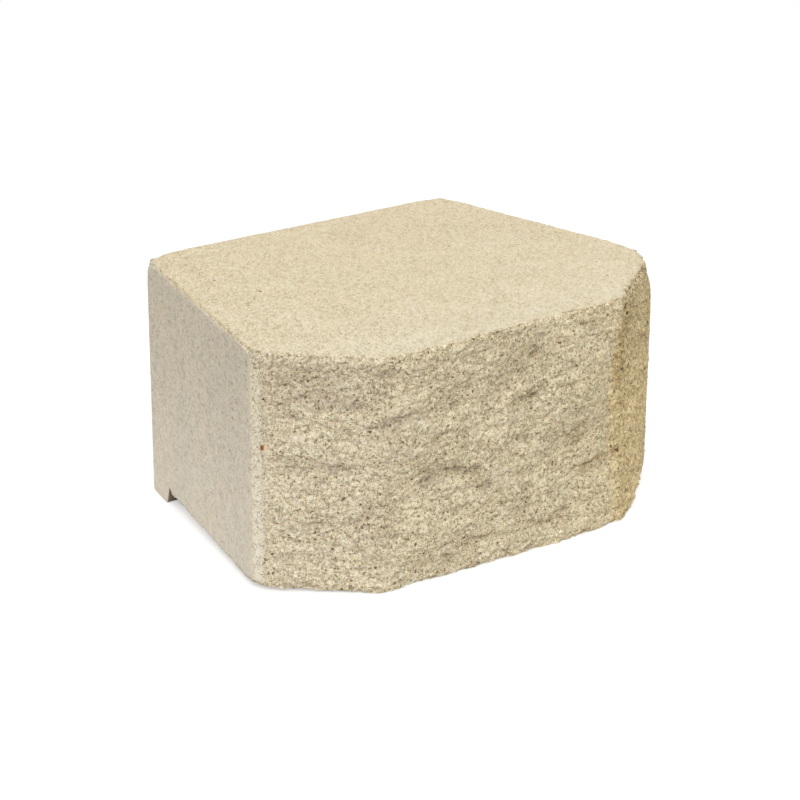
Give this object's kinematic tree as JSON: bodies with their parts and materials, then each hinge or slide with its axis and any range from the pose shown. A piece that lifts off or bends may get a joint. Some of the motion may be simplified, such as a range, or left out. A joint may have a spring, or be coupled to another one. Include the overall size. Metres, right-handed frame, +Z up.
{
  "type": "retaining wall block",
  "caption": "Tapered concrete garden retaining wall block with a rough split three-facet front and a locating lip across the rear underside.",
  "frame": {"origin": "on the floor, on the centre plane of the mould, halfway between the front and the back of the block as it stands unheld", "axes": "+Z up, +X along the width, to the right of someone who faces the split front, +Y from the split front to the back; the block leans forward 2.7 degrees because it stands on its front bottom edge and its lip"},
  "size_m": [0.299, 0.2388, 0.1536],
  "materials": {
    "concrete": "matt, sandy cream concrete, moulded smooth on top, sides and back, rough and coarse-grained on the split front"
  },
  "bodies": {
    "root": {"wall_block": "concrete"}
  },
  "joints": []
}
